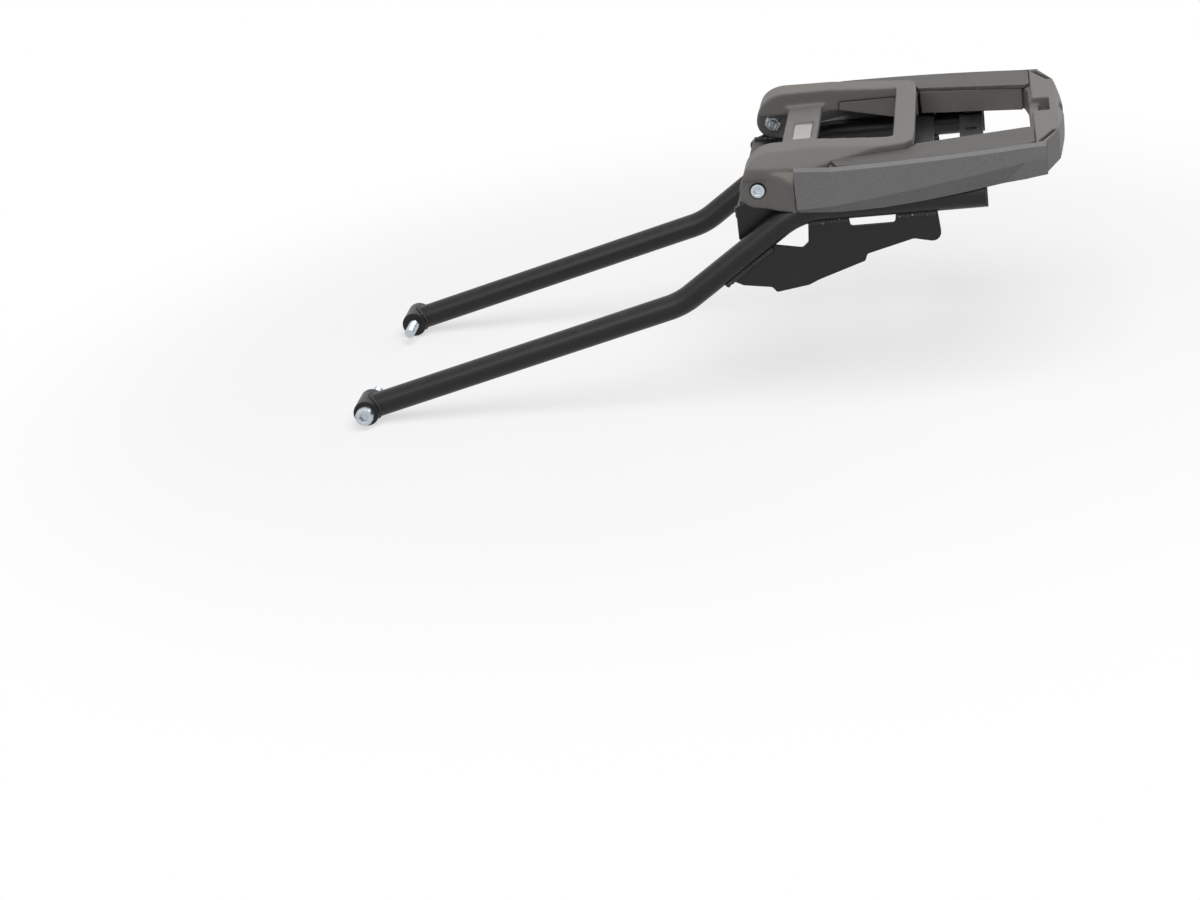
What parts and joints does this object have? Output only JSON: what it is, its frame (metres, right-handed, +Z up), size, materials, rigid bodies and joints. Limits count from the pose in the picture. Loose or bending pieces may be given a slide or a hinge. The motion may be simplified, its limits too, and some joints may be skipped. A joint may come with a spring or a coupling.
{
  "type": "motorcycle top case rack",
  "caption": "Moulded top case carrier plate with a raised front loop, rear block with slots and latch notch, on bent steel side tubes with gussets, lugs and straps.",
  "frame": {"origin": "centre of the top face of the carry loop's crossbar", "axes": "+X to the rear along the deck, +Y to the right-hand side, +Z up, square to the deck"},
  "size_m": [0.5275, 0.233, 0.175],
  "materials": {
    "moulded_plastic": "fine-grained satin",
    "pad_plastic": "brushed grain",
    "skirt_plastic": "speckled satin",
    "black_coat": "satin powder coat",
    "zinc": "zinc plated",
    "badge_silver": "fine brushed",
    "insert_brass": "turned",
    "cap_plastic": "matte"
  },
  "bodies": {
    "root": {"carry_loop": "moulded_plastic", "badge_plate": "badge_silver", "rear_deck": "moulded_plastic", "rail_pad_left": "pad_plastic", "rail_pad_right": "pad_plastic", "inner_panel_left": "moulded_plastic", "inner_panel_right": "moulded_plastic", "side_skirt_left": "skirt_plastic", "side_skirt_right": "skirt_plastic", "nose_screws": "zinc", "nose_washers": "zinc", "nose_nuts": "zinc", "front_lug_left": "black_coat", "front_lug_right": "black_coat", "front_crossmember": "black_coat", "side_tube_left": "black_coat", "side_tube_right": "black_coat", "front_boss_left": "black_coat", "front_boss_right": "black_coat", "boss_bolt_left": "zinc", "boss_bolt_right": "zinc", "tube_end_cap_left": "cap_plastic", "tube_end_cap_right": "cap_plastic", "gusset_left": "black_coat", "gusset_right": "black_coat", "front_strap": "black_coat", "rear_strap": "black_coat", "strap_screws": "zinc", "strap_washers": "zinc", "thread_inserts": "insert_brass"}
  },
  "joints": []
}
